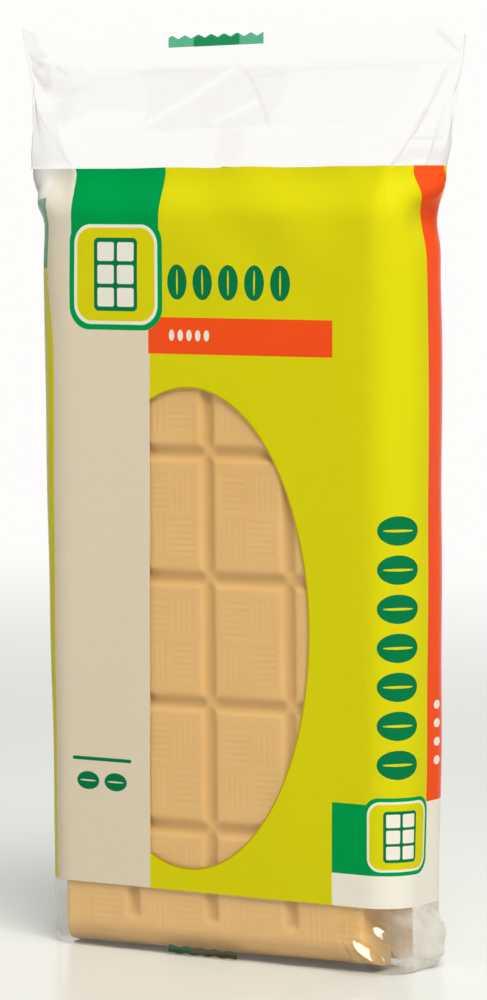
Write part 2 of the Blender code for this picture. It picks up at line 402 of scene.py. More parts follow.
def slack(s, h):
    """How far the film stands off the plain tube in mm: a sum of waves, bulges and crumples, each
    times the part of the girth and of the height that it fills."""
    corners = between(40, 60, 68, 86, np.abs(s))
    total = 0.10 * waves(s, h, 38, 1)
    total += 0.28 * between(150, 190, 200, 221, h) * waves(s, h * 0.7, 19, 2)
    total += 0.35 * corners * waves(s * 1.5, h * 0.4, 34, 3)

    # The sides bulge, the left one most below the shoulder, and the right one has a fold there.
    total += 0.9 * between(52, 62, 76, 90, s) * between(5, 60, 150, 190, h)
    left_bulge = 2.6 * between(0, 170, 187, 198, h) + 1.8 * bump(189, 4.5, h)
    total += between(45, 57, 68, 84, -s) * left_bulge
    total += between(50, 60, 74, 90, s) * (1.1 * bump(192, 3, h) - 1.3 * bump(184, 5, h))

    # The hood crumples most at its two ends.
    hood = between(199, 204, 218, 222, h)
    total += 0.7 * hood * (0.35 + corners) * facets(s + 0.5 * h, h - 0.3 * s, 9.0, 4)

    # The clear foot is creased along the front, and gathered and blown out at its right end.
    foot = between(0.2, 3.0, 11, 15.4, h)
    total += 0.9 * foot * corners * facets(s + 0.4 * h, h, 4.2, 5)
    total += (0.12 + 0.5 * smooth(25, 40, s)) * foot * facets(s * 0.6, h, 5.0, 6)
    gathered = between(34, 40, 48, 58, s) * between(0.3, 2.5, 9.0, 14.5, h)
    total += gathered * (1.3 + 2.0 * facets(s + 0.5 * h, h, 5.0, 141))
    total += 2.2 * between(60, 68, 78, 90, s) * between(0.3, 3, 4, 14, h)
    return total


def film_points(s, h):
    """Points of the film in mm, the tube moved out along its normal by the slack."""
    return tube(s, h) + outward(s, h) * slack(s, h)[..., None]


# Each crease of the hood: its corners (s, h) on the film, its half width, and how grey it looks, a
# painted shade.
CREASES = (
    (((-54.1, 211.8), (-47.9, 205.0), (-44.1, 198.2)), 0.6, 0.10),
    (((42.3, 220.0), (43.0, 210.0)), 0.4, 0.26),
    (((43.0, 210.0), (44.4, 201.2), (45.6, 197.6)), 0.45, 0.60),
    (((44.0, 203.8), (58.1, 203.8)), 0.35, 0.22),
    (((0.8, 221.2), (8.0, 207.5)), 0.35, 0.20),
    (((-30.3, 222.5), (-17.5, 222.0), (-0.8, 222.8)), 0.5, 0.07),
    (((3.5, 219.8), (11.8, 221.2), (39.6, 221.8), (46.0, 222.8)), 0.5, 0.07),
    (((-58.0, 230.0), (-46.0, 226.5), (-42.0, 223.5)), 0.6, 0.30),
    (((-54.0, 231.0), (-44.5, 224.5)), 0.45, 0.18),
    (((-44.7, 230.5), (-43.0, 230.0), (-42.2, 227.7), (-41.4, 225.2)), 0.6, 0.12),
    (((-44.7, 230.5), (-43.6, 227.5), (-42.6, 225.2), (-41.4, 225.2)), 0.6, 0.12),
    (((-44.4, 222.0), (-43.2, 219.6)), 1.1, 0.34),
    (((-42.7, 223.0), (-40.8, 223.2), (-41.7, 219.5), (-43.4, 218.0)), 0.6, 0.16),
    (((-41.0, 219.0), (-36.0, 218.5)), 1.9, 0.09),
    (((-38.5, 217.5), (-42.0, 210.5)), 1.7, 0.09),
    (((-38.8, 223.0), (-37.2, 222.0)), 0.4, 0.22),
    (((40.0, 229.5), (44.0, 225.5), (52.0, 229.0)), 0.45, 0.22),
)
# Each streak, a clear line through the veils: its corners and its half width.
STREAKS = (
    (((-22.3, 208.2), (-12.0, 214.5), (-0.8, 222.8)), 0.9),
    (((-5.3, 209.0), (3.8, 213.5)), 0.9),
    (((-39.3, 218.5), (-35.0, 220.3)), 0.45),
    (((-43.5, 215.0), (-39.5, 215.8)), 0.4),
)
# Each veil, a greyer patch of the hood: s from and to, h from and to, and how grey it is.
VEILS = (
    (-34.0, -21.0, 212.0, 222.0, 0.08),
    (-22.0, 8.0, 207.6, 222.0, 0.12),
    (8.0, 36.0, 207.6, 222.0, 0.04),
    (-3.5, 3.0, 198.5, 207.6, 0.09),
    (-68.0, -44.0, 198.0, 213.0, 0.09),
    (-44.0, -34.0, 211.0, 224.0, 0.07),
    (43.5, 62.0, 198.0, 201.0, 0.14),
)


def nearness(s, h, corners, width):
    """exp(-(d / width)^2) of each point's distance d to a broken line in s and h."""
    nearest = np.full(np.shape(s), np.inf)
    for (s0, h0), (s1, h1) in zip(corners, corners[1:]):
        run, climb = s1 - s0, h1 - h0
        share = np.clip(((s - s0) * run + (h - h0) * climb) / (run ** 2 + climb ** 2), 0, 1)
        away = (s - s0 - share * run) ** 2 + (h - h0 - share * climb) ** 2
        nearest = np.minimum(nearest, away)
    return np.exp(-nearest / width ** 2)


def note_creasing(piece, s, h):
    """Store how creased each point of a film is from 0 to 1, which the film shows as white haze and as
    grey, a painted shade at the creases and crumples: the hood's creases and veils, less its clear
    streaks, and the crumple of the foot's right and left ends."""
    grey = np.zeros(np.shape(s))
    uneven_s = s + 1.6 * waves(s, h, 15, 13)
    uneven_h = h + 1.0 * waves(s, h, 21, 14)
    for s_low, s_high, h_low, h_high, strength in VEILS:
        across = between(s_low - 1.5, s_low + 1, s_high - 1, s_high + 1.5, uneven_s)
        up = between(h_low - 0.7, h_low + 0.7, h_high - 0.7, h_high + 0.7, uneven_h)
        grey = np.maximum(grey, strength * across * up)
    for corners, width in STREAKS:
        grey = grey * (1 - nearness(s, h, corners, width))
    for corners, width, strength in CREASES:
        grey = grey + strength * nearness(s, h, corners, width)
    foot = 1 - smooth(13, 17, h)
    crumple = 0.5 + 0.5 * facets(s + 0.4 * h, h, 3.1, 7)
    grey = grey + foot * between(46, 56, 76, 90, s) * (0.3 + 0.5 * crumple)
    grey = grey + foot * between(47, 54, 76, 90, -s) * (0.05 + 0.2 * crumple)
    layer = piece.data.attributes.new("crease_haze_and_shade", "FLOAT", "POINT")
    layer.data.foreach_set("value", np.clip(grey, 0, 1).astype(np.float32).ravel())


WINDOW_S = -7.8
WINDOW_Z = 81.8
WINDOW_HALF_WIDTH = 35.2
WINDOW_HALF_HEIGHT = 60.4
BAND_EDGE = -19.4             # right edge of the pale band, which cuts the oval
SHEET_STEP = 1.6              # of the sheet's grid of points
OUTLINE_MARGIN = 1.0          # width that the grid keeps clear at the window's outline
OUTLINE_POINTS = 240          # of the outline's arc
FILM_THICKNESS = 0.1


def window_outline(count):
    """Closed outline of the window in s and z: the oval's arc right of the pale band's edge, and
    that straight edge."""
    cut = math.acos((BAND_EDGE - WINDOW_S) / WINDOW_HALF_WIDTH)
    turn = np.linspace(-cut, cut, count)
    arc = np.stack([WINDOW_S + WINDOW_HALF_WIDTH * np.cos(turn),
                    WINDOW_Z + WINDOW_HALF_HEIGHT * np.sin(turn)], axis=-1)
    drop = np.linspace(arc[-1, 1], arc[0, 1], count // 3)[1:-1]
    chord = np.stack([np.full_like(drop, BAND_EDGE), drop], axis=-1)
    return np.concatenate([arc, chord])


def in_window(s, z, margin=0.0):
    """True inside the oval and right of the pale band, grown by the margin in mm."""
    oval = ((s - WINDOW_S) / (WINDOW_HALF_WIDTH + margin)) ** 2
    oval = oval + ((z - WINDOW_Z) / (WINDOW_HALF_HEIGHT + margin)) ** 2
    return (oval < 1) & (s > BAND_EDGE - margin)


def cut_sleeve():
    """Flat pattern of the sleeve: a grid of points over the film in s and z, kept clear of the
    window's outline, joined with that outline by a Delaunay triangulation that keeps its edges."""
    sleeve_height = SLEEVE_TOP_Z - SLEEVE_BOTTOM_Z
    across = np.linspace(-HALF_GIRTH, HALF_GIRTH, round(2 * HALF_GIRTH / SHEET_STEP) + 1)
    up = np.linspace(SLEEVE_BOTTOM_Z, SLEEVE_TOP_Z, round(sleeve_height / SHEET_STEP) + 1)
    s, z = [part.ravel() for part in np.meshgrid(across, up)]
    near = in_window(s, z, OUTLINE_MARGIN) & ~in_window(s, z, -OUTLINE_MARGIN)
    outline = window_outline(OUTLINE_POINTS)
    points = np.concatenate([outline, np.stack([s, z], axis=-1)[~near]])
    loop = [(i, (i + 1) % len(outline)) for i in range(len(outline))]
    result = geometry.delaunay_2d_cdt([Vector(p) for p in points.tolist()], loop, [], 0, 1e-5)
    return np.array([tuple(p) for p in result[0]]), np.array([tuple(f) for f in result[2]])


def keep_used(points, faces):
    """The points that the faces use, and the faces counted anew."""
    used, renumbered = np.unique(faces, return_inverse=True)
    return points[used], renumbered.reshape(faces.shape)


def note_print_place(piece, s, z):
    """Store each point's place on the flat print in mm, which the print's colours read, and a painted
    light: how much paler the ink is painted where the film hangs free of the tablets at the left and
    light comes through. Where the film is pleated at the shoulder, the print runs askew: far to the
    front on the right, a little on the left."""
    right_pleat = 10.4 * smooth(183, 198.5, z) * smooth(40, 54, s)
    left_pleat = 2.3 * smooth(148, 176, z) * smooth(43, 50, -s)
    place = np.stack([s + right_pleat + left_pleat, z, np.zeros_like(s)], axis=-1).astype(np.float32)
    layer = piece.data.attributes.new("print_mm", "FLOAT_VECTOR", "POINT")
    layer.data.foreach_set("vector", place.ravel())
    # Painted light: the ink's share of white where light comes through the free film.
    painted_backlight = between(50, 54, 64, 80, -s) * smooth(5, 130, z)
    painted_backlight = painted_backlight * (0.34 + 0.12 * smooth(165, 180, z))
    layer = piece.data.attributes.new("backlight_painted", "FLOAT", "POINT")
    layer.data.foreach_set("value", painted_backlight.astype(np.float32))


YELLOW_GREEN_HEX = "#DDD514"
PALE_BAND_HEX = "#E6D8BE"
WHITE_INK_HEX = "#F3EEDF"
GREEN_HEX = "#009C4D"
ORANGE_HEX = "#FB5420"
DEEP_GREEN_HEX = "#0A7A48"
RIM_HEX = "#C3A21C"
RIM_WIDTH = 0.45              # of the window's printed rim
PRINT_EDGE_S = -49.2          # left edge of the front design
SIDE_START = 34.3             # where the side design starts, still on the front panel
STRIPE_START = 62.3
STRIPE_END = 71.9
LEFT_SIDE_END = -79.8
SIDE_END = 80.0
SIDE_BLOCK_END = 54.5
SIDE_BLOCK_TOP = 41.1
SIDE_BLOCK_BOTTOM = 23.6
TURNED = SLEEVE_TOP_Z + SLEEVE_BOTTOM_Z    # the left side's z is this less the right side's
BACK_FIELD_BOTTOM = 60.0
BACK_FIELD_TOP = 165.0
BACK_FIELDS = ((14 - HALF_GIRTH, LEFT_SIDE_END - 8), (SIDE_END + 4, HALF_GIRTH - 4))


class Print:
    """Colours laid one over another by masks on the flat print's place in mm."""

    def __init__(self, tree, ground):
        self.tree = tree
        place = add_node(tree, "ShaderNodeAttribute", attribute_name="print_mm")
        split = add_node(tree, "ShaderNodeSeparateXYZ", {"Vector": place.outputs["Vector"]})
        self.s, self.z = split.outputs["X"], split.outputs["Y"]
        self.colour = ground

    def math(self, operation, first, second=0.0, third=0.0):
        """One Math node's result."""
        sockets = {0: first, 1: second, 2: third}
        return add_node(self.tree, "ShaderNodeMath", sockets, operation=operation).outputs["Value"]

    def within(self, value, low, high):
        """1 where low < value < high."""
        return self.math("COMPARE", value, (low + high) / 2, (high - low) / 2)

    def box(self, s_low, s_high, z_low, z_high):
        """1 inside a rectangle."""
        across = self.within(self.s, s_low, s_high)
        return self.math("MULTIPLY", across, self.within(self.z, z_low, z_high))

    def round_box(self, s, z, half_s, half_z, radius):
        """1 inside a rectangle with round corners: the distance past the inner box is at most the
        corner's radius."""
        past = []
        for value, centre, half in ((self.s, s, half_s), (self.z, z, half_z)):
            reach = self.math("ABSOLUTE", self.math("SUBTRACT", value, centre))
            past.append(self.math("MAXIMUM", self.math("SUBTRACT", reach, half - radius), 0.0))
        square = self.math("MULTIPLY_ADD", past[0], past[0], self.math("MULTIPLY", past[1], past[1]))
        return self.math("LESS_THAN", square, radius * radius)

    def oval(self, s, z, half_s, half_z):
        """1 inside an oval: the sum of the squares of both offsets, each by its half size, is
        below 1."""
        across = self.math("DIVIDE", self.math("SUBTRACT", self.s, s), half_s)
        up = self.math("DIVIDE", self.math("SUBTRACT", self.z, z), half_z)
        square = self.math("MULTIPLY_ADD", across, across, self.math("MULTIPLY", up, up))
        return self.math("LESS_THAN", square, 1.0)

    def lay(self, mask, hex_code):
        """Cover what lies under the mask with a colour."""
        mix = add_node(
            self.tree, "ShaderNodeMix",
            {"Factor": mask, "A": self.colour, "B": linear(hex_code)}, data_type="RGBA",
        )
        self.colour = mix.outputs["Result"]


def lay_bean(inks, s, z, half_s, half_z, body_hex, seam_hex):
    """Cocoa bean: an oval with a thin seam along its longer half."""
    inks.lay(inks.oval(s, z, half_s, half_z), body_hex)
    thin_s, thin_z = (0.09, 0.72) if half_z > half_s else (0.72, 0.09)
    inks.lay(inks.oval(s, z, thin_s * half_s, thin_z * half_z), seam_hex)


def lay_tablet_badge(inks, s, z, size):
    """Badge with a small tablet: a green tile with round corners and a pale line in it, a
    yellow-green field, and two by three ivory pieces."""
    inks.lay(inks.round_box(s, z, size, size, 0.42 * size), GREEN_HEX)
    inks.lay(inks.round_box(s, z, 0.90 * size, 0.90 * size, 0.36 * size), WHITE_INK_HEX)
    inks.lay(inks.round_box(s, z, 0.84 * size, 0.84 * size, 0.32 * size), YELLOW_GREEN_HEX)
    inks.lay(inks.round_box(s, z, 0.47 * size, 0.66 * size, 0.10 * size), DEEP_GREEN_HEX)
    for across in (-1, 1):
        for up in (-1, 0, 1):
            piece_s = s + across * 0.215 * size
            piece_z = z + up * 0.41 * size
            piece = inks.round_box(piece_s, piece_z, 0.18 * size, 0.17 * size, 0.04 * size)
            inks.lay(piece, WHITE_INK_HEX)


def lay_fields(inks):
    """Fields of colour, from the ground up: the back's white fields, the pale band, painted whiter
    towards its top for the light that comes through where no chocolate lies behind it, the front's
    green head and orange bar, the right side's foot and stripe, the left side's head, and the window's
    rim."""
    for s_low, s_high in BACK_FIELDS:
        inks.lay(inks.box(s_low, s_high, BACK_FIELD_BOTTOM, BACK_FIELD_TOP), WHITE_INK_HEX)
    top = SLEEVE_TOP_Z + 2
    low = SLEEVE_BOTTOM_Z - 2
    band = inks.box(PRINT_EDGE_S, BAND_EDGE, low, top)
    inks.lay(band, PALE_BAND_HEX)
    # Painted light: the band is mixed towards white above the tablets, where light comes through the
    # film.
    painted_light_clear_of_chocolate = add_node(
        inks.tree, "ShaderNodeMapRange",
        {"Value": inks.z, "From Min": 174.0, "From Max": 194.0, "To Max": 0.8},
    )
    inks.lay(inks.math("MULTIPLY", band, painted_light_clear_of_chocolate.outputs["Result"]), WHITE_INK_HEX)
    inks.lay(inks.box(-43.2, -16.6, 171.5, top), GREEN_HEX)
    inks.lay(inks.box(BAND_EDGE - 0.4, SIDE_START, 150.7, 159.85), ORANGE_HEX)
    inks.lay(inks.box(SIDE_START, SIDE_END, low, SIDE_BLOCK_TOP), WHITE_INK_HEX)
    inks.lay(inks.box(SIDE_START, SIDE_BLOCK_END, SIDE_BLOCK_BOTTOM, SIDE_BLOCK_TOP), GREEN_HEX)
    inks.lay(inks.box(STRIPE_START, STRIPE_END, SIDE_BLOCK_TOP, top), ORANGE_HEX)
    head_low = TURNED - SIDE_BLOCK_TOP
    head_high = TURNED - SIDE_BLOCK_BOTTOM
    inks.lay(inks.box(LEFT_SIDE_END, PRINT_EDGE_S, head_high, top), WHITE_INK_HEX)
    inks.lay(inks.box(LEFT_SIDE_END + 10, PRINT_EDGE_S, head_low, head_high), GREEN_HEX)
    rim = inks.oval(
        WINDOW_S, WINDOW_Z, WINDOW_HALF_WIDTH + RIM_WIDTH, WINDOW_HALF_HEIGHT + RIM_WIDTH)
    inks.lay(inks.math("MULTIPLY", rim, inks.math("GREATER_THAN", inks.s, BAND_EDGE)), RIM_HEX)


def lay_shapes(inks):
    """Simple shapes on the fields: a row and a column of cocoa beans, rows of small white ones in
    the orange, a thin rule over two beans, and two badges."""
    for i in range(5):
        lay_bean(inks, -11.2 + 7.6 * i, 168.7, 2.9, 4.4, DEEP_GREEN_HEX, YELLOW_GREEN_HEX)
        lay_bean(inks, -12.8 + 2.6 * i, 155.4, 0.8, 1.4, WHITE_INK_HEX, WHITE_INK_HEX)
    for i in range(7):
        lay_bean(inks, 52.3, 51.0 + 9.6 * i, 5.4, 3.6, DEEP_GREEN_HEX, YELLOW_GREEN_HEX)
    for i in range(4):
        lay_bean(inks, 67.4, 51.0 + 4.6 * i, 1.6, 1.1, WHITE_INK_HEX, WHITE_INK_HEX)
    inks.lay(inks.round_box(-34.0, 47.2, 9.0, 0.45, 0.4), DEEP_GREEN_HEX)
    for s in (-38.2, -29.8):
        lay_bean(inks, s, 41.6, 3.4, 2.3, DEEP_GREEN_HEX, PALE_BAND_HEX)
    lay_tablet_badge(inks, -29.6, 170.4, 14.0)
    lay_tablet_badge(inks, 53.1, 33.25, 9.65)


def printed_film():
    """Gravure print behind glossy polypropylene: flat even inks, with a painted light that makes them
    paler where light comes through, a clear gloss that is clouded where the film lies closer to what
    is behind it, a fine stretch grain, and a mirror at a glancing angle (0.7 f^8, f = 1 - cos)."""
    material, tree, output = new_material("printed_polypropylene")
    inks = Print(tree, linear(YELLOW_GREEN_HEX))
    lay_fields(inks)
    lay_shapes(inks)
    painted_backlight = add_node(tree, "ShaderNodeAttribute", attribute_name="backlight_painted")
    ink = add_node(
        tree, "ShaderNodeMix",
        {"Factor": painted_backlight.outputs["Fac"], "A": inks.colour, "B": (1, 1, 1, 1)}, data_type="RGBA",
    )
    place = add_node(tree, "ShaderNodeTexCoord").outputs["Object"]
    clouds = add_node(tree, "ShaderNodeTexNoise", {"Vector": place, "Scale": 28.0, "Detail": 2.0})
    gloss = add_node(
        tree, "ShaderNodeMapRange",
        {"Value": clouds.outputs["Fac"], "To Min": 0.24, "To Max": 0.36},
    )
    print_place = add_node(tree, "ShaderNodeAttribute", attribute_name="print_mm")
    grain = add_node(
        tree, "ShaderNodeTexNoise",
        {"Vector": print_place.outputs["Vector"], "Scale": 0.35, "Detail": 3.0},
    )
    relief = add_node(
        tree, "ShaderNodeBump", {"Height": grain.outputs["Fac"], "Strength": 0.25, "Distance": 0.0004}
    )
    film = add_node(
        tree, "ShaderNodeBsdfPrincipled",
        {"Base Color": ink.outputs["Result"], "Roughness": gloss.outputs["Result"], "IOR": 1.4,
         "Specular IOR Level": 0.02, "Normal": relief.outputs["Normal"]},
    )
    glance = add_node(tree, "ShaderNodeLayerWeight", {"Blend": 0.5}).outputs["Facing"]
    sheen = inks.math("MULTIPLY", inks.math("POWER", glance, 8.0), 0.7)
    mirror = add_node(tree, "ShaderNodeBsdfAnisotropic", {"Color": (1, 1, 1, 1), "Roughness": 0.12})
    glossy = add_node(
        tree, "ShaderNodeMixShader",
        {0: sheen, 1: film.outputs["BSDF"], 2: mirror.outputs["BSDF"]},
    )
    tree.links.new(glossy.outputs["Shader"], output.inputs["Surface"])
    return material


def clear_film(name, haze, shine, rim, crease):
    """Unprinted polypropylene: sight passes straight through with a faint warm tint, over which a
    painted shade lays the rim's grey at a glancing angle, for the film's darker edges, and the
    crease's grey where creased; the skin mirrors more as the glance grows (shine + 0.9 f^5, f = 1 -
    cos), and a share, the haze plus the creasing noted on the film, scatters white."""
    material, tree, output = new_material(name)
    glance = add_node(tree, "ShaderNodeLayerWeight", {"Blend": 0.5}).outputs["Facing"]
    crease_haze_and_shade = add_node(tree, "ShaderNodeAttribute", attribute_name="crease_haze_and_shade").outputs["Fac"]
    steep = add_node(tree, "ShaderNodeMath", {0: glance, 1: 4.0}, operation="POWER")
    # Painted shade: the film greys towards the rim's grey at a glancing angle, where its edges look
    # darker.
    painted_rim_shade = (rim, rim * 0.985, rim * 0.95, 1)
    tint = add_node(
        tree, "ShaderNodeMix",
        {"Factor": steep.outputs["Value"], "A": (1.0, 0.997, 0.99, 1), "B": painted_rim_shade},
        data_type="RGBA",
    )
    # Painted shade: creased film is greyed towards the crease's grey.
    painted_crease_shade = (crease, crease * 0.985, crease * 0.94, 1)
    tint_with_painted_shade = add_node(
        tree, "ShaderNodeMix",
        {"Factor": crease_haze_and_shade, "A": tint.outputs["Result"], "B": painted_crease_shade}, data_type="RGBA",
    )
    through = add_node(tree, "ShaderNodeBsdfTransparent", {"Color": tint_with_painted_shade.outputs["Result"]})
    mirror = add_node(tree, "ShaderNodeBsdfAnisotropic", {"Color": (1, 1, 1, 1), "Roughness": 0.06})
    fifth = add_node(tree, "ShaderNodeMath", {0: glance, 1: 5.0}, operation="POWER")
    share = add_node(
        tree, "ShaderNodeMath", {0: fifth.outputs["Value"], 1: 0.9, 2: shine},
        operation="MULTIPLY_ADD",
    )
    skin = add_node(
        tree, "ShaderNodeMixShader",
        {0: share.outputs["Value"], 1: through.outputs["BSDF"], 2: mirror.outputs["BSDF"]},
    )
    scatter = add_node(
        tree, "ShaderNodeBsdfPrincipled", {"Base Color": (0.96, 0.93, 0.84, 1), "Roughness": 0.5}
    )
    milky = add_node(
        tree, "ShaderNodeMath", {0: crease_haze_and_shade, 1: 0.65, 2: haze}, operation="MULTIPLY_ADD"
    )
    whole = add_node(
        tree, "ShaderNodeMixShader",
        {0: milky.outputs["Value"], 1: skin.outputs["Shader"], 2: scatter.outputs["BSDF"]},
    )
    tree.links.new(whole.outputs["Shader"], output.inputs["Surface"])
    return material


pattern, triangles = cut_sleeve()
middle = pattern[triangles].mean(axis=1)
shows_chocolate = in_window(middle[:, 0], middle[:, 1])
sleeve_film = printed_film()
flat, corners = keep_used(pattern, triangles[~shows_chocolate])
printed_sleeve = make_piece(
    "printed_sleeve", film_points(flat[:, 0], flat[:, 1]), corners, sleeve_film)
note_print_place(printed_sleeve, flat[:, 0], flat[:, 1])
note_creasing(printed_sleeve, flat[:, 0], flat[:, 1])
wall = printed_sleeve.modifiers.new("film_thickness", "SOLIDIFY")
wall.thickness = FILM_THICKNESS * MM
wall.offset = -1.0

window_clear = clear_film("clear_polypropylene", haze=0.01, shine=0.03, rim=0.8, crease=0.8)
flat, corners = keep_used(pattern, triangles[shows_chocolate])
window_film = make_piece(
    "window_film", film_points(flat[:, 0], flat[:, 1]), corners, window_clear)
note_creasing(window_film, flat[:, 0], flat[:, 1])


# The back seam.
# Where the tube's edges are welded up the back: a fin of two layers, folded to the left so that it
# lies flat. It is printed as far as the sleeve is, and clear in the hood.

SEAM_START = 4.0              # from the middle of the back to the left
SEAM_END = 12.5
SEAM_LIFTS = (0.12, 0.5)      # how far the fin's weld and its free edge stand off the back
SEAM_RUMPLE = 0.12
SEAM_COLUMNS = 8


def seam_fin(name, low, high, material):
    """Strip of film along the back from height low to high, as (piece, s, h)."""
    up = np.linspace(low, high, round(high - low))
    share, h = np.meshgrid(np.linspace(0, 1, SEAM_COLUMNS), up)
    s = SEAM_START + (SEAM_END - SEAM_START) * share - HALF_GIRTH
    lift = np.interp(share, (0, 1), SEAM_LIFTS) + SEAM_RUMPLE * share * waves(s, h, 23, 15)
    points = film_points(s, h) + outward(s, h) * lift[..., None]
    faces = grid_faces(len(h), SEAM_COLUMNS)
    return make_piece(name, points.reshape(-1, 3), faces, material), s.ravel(), h.ravel()


printed_seam, seam_s, seam_h = seam_fin(
    "printed_seam", SLEEVE_BOTTOM_Z, SLEEVE_TOP_Z, sleeve_film)
note_print_place(printed_seam, seam_s, seam_h)


# The clear foot.
# The same film below the print, folded flat under the tablets. It lies on the front tablet's face
# and stands off, crumpled, at the pack's right end.

FOOT_COLUMNS = 400
FOOT_LOWEST_Z = 0.05          # the crumple doesn't go below it, into the table
under_base = np.linspace(-BODY_HALF_DEPTH, -0.5, 10)
rounding = np.linspace(0, BASE_ROUNDING, 6)
up_the_foot = np.linspace(BASE_ROUNDING + 0.5, SLEEVE_BOTTOM_Z, 26)
foot_h = np.concatenate([under_base, rounding, up_the_foot])
foot_s = np.linspace(-HALF_GIRTH, HALF_GIRTH, FOOT_COLUMNS, endpoint=False)
foot_grid_s, foot_grid_h = np.meshgrid(foot_s, foot_h)
foot_points = film_points(foot_grid_s, foot_grid_h)
foot_points[..., 2] = np.maximum(foot_points[..., 2], FOOT_LOWEST_Z)
foot_clear = clear_film(
    "creased_clear_polypropylene", haze=0.01, shine=0.055, rim=0.93, crease=0.92)
foot_faces = grid_faces(len(foot_h), FOOT_COLUMNS, wrap=True)
foot_film = make_piece(
    "foot_film", foot_points.reshape(-1, 3), foot_faces, foot_clear)
note_creasing(foot_film, foot_grid_s, foot_grid_h)


# The folded foot seal.
# The tube's lower seal is a fin of two film layers, folded flat under the tablets to the front,
# where its cut edge turns up a little and carries the end of a green register mark.

FIN_HALF_WIDTH = 45.0
FIN_COLUMNS = 160
FIN_Y = (2.0, -3.0, -8.0, -11.5, -12.6, -12.9, -13.1, -13.2)     # its section, from the weld on
FIN_Z = (0.35, 0.3, 0.25, 0.25, 0.35, 0.9, 1.6, 2.4)
FIN_RUMPLE = 0.04             # more at each step of the section
fin_x = np.linspace(-FIN_HALF_WIDTH, FIN_HALF_WIDTH, FIN_COLUMNS)
fin_x, fin_step = np.meshgrid(fin_x, np.arange(len(FIN_Y)))
fin_y = np.take(FIN_Y, fin_step)
fin_z = np.take(FIN_Z, fin_step) + FIN_RUMPLE * fin_step * waves(fin_x, fin_y, 17, 11)
fin_points = np.stack([fin_x, fin_y, fin_z], axis=-1)
fin_faces = grid_faces(len(FIN_Y), FIN_COLUMNS)[:, ::-1]
folded_seal = make_piece(
    "folded_seal", fin_points.reshape(-1, 3), fin_faces, foot_clear)
note_creasing(folded_seal, fin_x * 0.4, np.full_like(fin_x, 5.0))


# The clear hood and its seal.
# Above the print the tube closes to a flat seal, welded by hot jaws and cut in a zigzag.

TOOTH_PITCH = 3.84
TOOTH_HEIGHT = 0.95
COLUMNS_PER_TOOTH = 8
HOOD_ROWS = 66


def tooth_line(x):
    """Height of the zigzag cut at x, without the seal's slope: TOP_Z at a tip of the teeth, and
    lower by their height in a notch."""
    return TOP_Z - TOOTH_HEIGHT * np.abs(((x / TOOTH_PITCH) % 1) - 0.5) * 2


hood_columns = round(2 * HALF_GIRTH / (TOOTH_PITCH / COLUMNS_PER_TOOTH))
hood_s = np.linspace(-HALF_GIRTH, HALF_GIRTH, hood_columns, endpoint=False)
hood_grid_s, hood_share = np.meshgrid(hood_s, np.linspace(0, 1, HOOD_ROWS))
top_edge = tooth_line(tube(hood_s, np.full_like(hood_s, SEAL_Z))[:, 0])
hood_grid_h = SLEEVE_TOP_Z + (top_edge[None, :] - SLEEVE_TOP_Z) * hood_share
hood_points = film_points(hood_grid_s, hood_grid_h)
hood_faces = grid_faces(HOOD_ROWS, hood_columns, wrap=True)
hood_clear = clear_film("hood_clear_polypropylene", haze=0.0, shine=0.005, rim=0.55, crease=0.55)
hood_film = make_piece(
    "hood_film", hood_points.reshape(-1, 3), hood_faces, hood_clear)
note_creasing(hood_film, hood_grid_s, hood_grid_h)
clear_seam, seam_s, seam_h = seam_fin(
    "clear_seam", SLEEVE_TOP_Z, SEAL_Z, hood_clear)
note_creasing(clear_seam, seam_s, seam_h)


# The register marks.
# Green bars printed on the film: one on each layer of the top seal, out of step with the other and
# cut with the teeth, and the ends of two on the layers of the folded seal under the tablets.

MARK_HEIGHT = 3.0
MARK_ROWS = 4
MARK_COLUMNS = 90
FOOT_MARK_COLUMNS = 40
FOOT_MARK_Z = (0.5, 2.3)


def mark_ink(name, tint, body, share):
    """Thin green ink on clear film: a share of the light is scattered in the body's green, the rest
    passes tinted, so that two layers look darker than one."""
    material, tree, output = new_material(name)
    through = add_node(tree, "ShaderNodeBsdfTransparent", {"Color": linear(tint)})
    ink = add_node(
        tree, "ShaderNodeBsdfPrincipled", {"Base Color": linear(body), "Roughness": 0.35}
    )
    layer = add_node(
        tree, "ShaderNodeMixShader",
        {0: share, 1: through.outputs["BSDF"], 2: ink.outputs["BSDF"]},
    )
    tree.links.new(layer.outputs["Shader"], output.inputs["Surface"])
    return material


def print_mark(name, x, y, z, ink):
    """Bar of ink: a grid in x and z at depth y, which faces forward when y is below 0."""
    points = np.stack([x, np.full_like(x, y), z], axis=-1)
    faces = grid_faces(*x.shape)
    make_piece(name, points.reshape(-1, 3), faces if y < 0 else faces[:, ::-1], ink)


green_ink = mark_ink("green_ink_on_clear_film", "#74CFA8", "#0E9A63", 0.42)
for name, left, right, depth in (
    ("front_mark", -22.2, -1.0, -0.35),
    ("back_mark", -15.1, 5.7, 0.35),
):
    across = np.linspace(left, right, MARK_COLUMNS)
    mark_x, mark_share = np.meshgrid(across, np.linspace(0, 1, MARK_ROWS))
    mark_low = TOP_Z - MARK_HEIGHT
    mark_z = mark_low + (tooth_line(mark_x) - mark_low) * mark_share
    print_mark(name, mark_x, depth, mark_z + SEAL_SKEW * mark_x + BASE_RISE, green_ink)

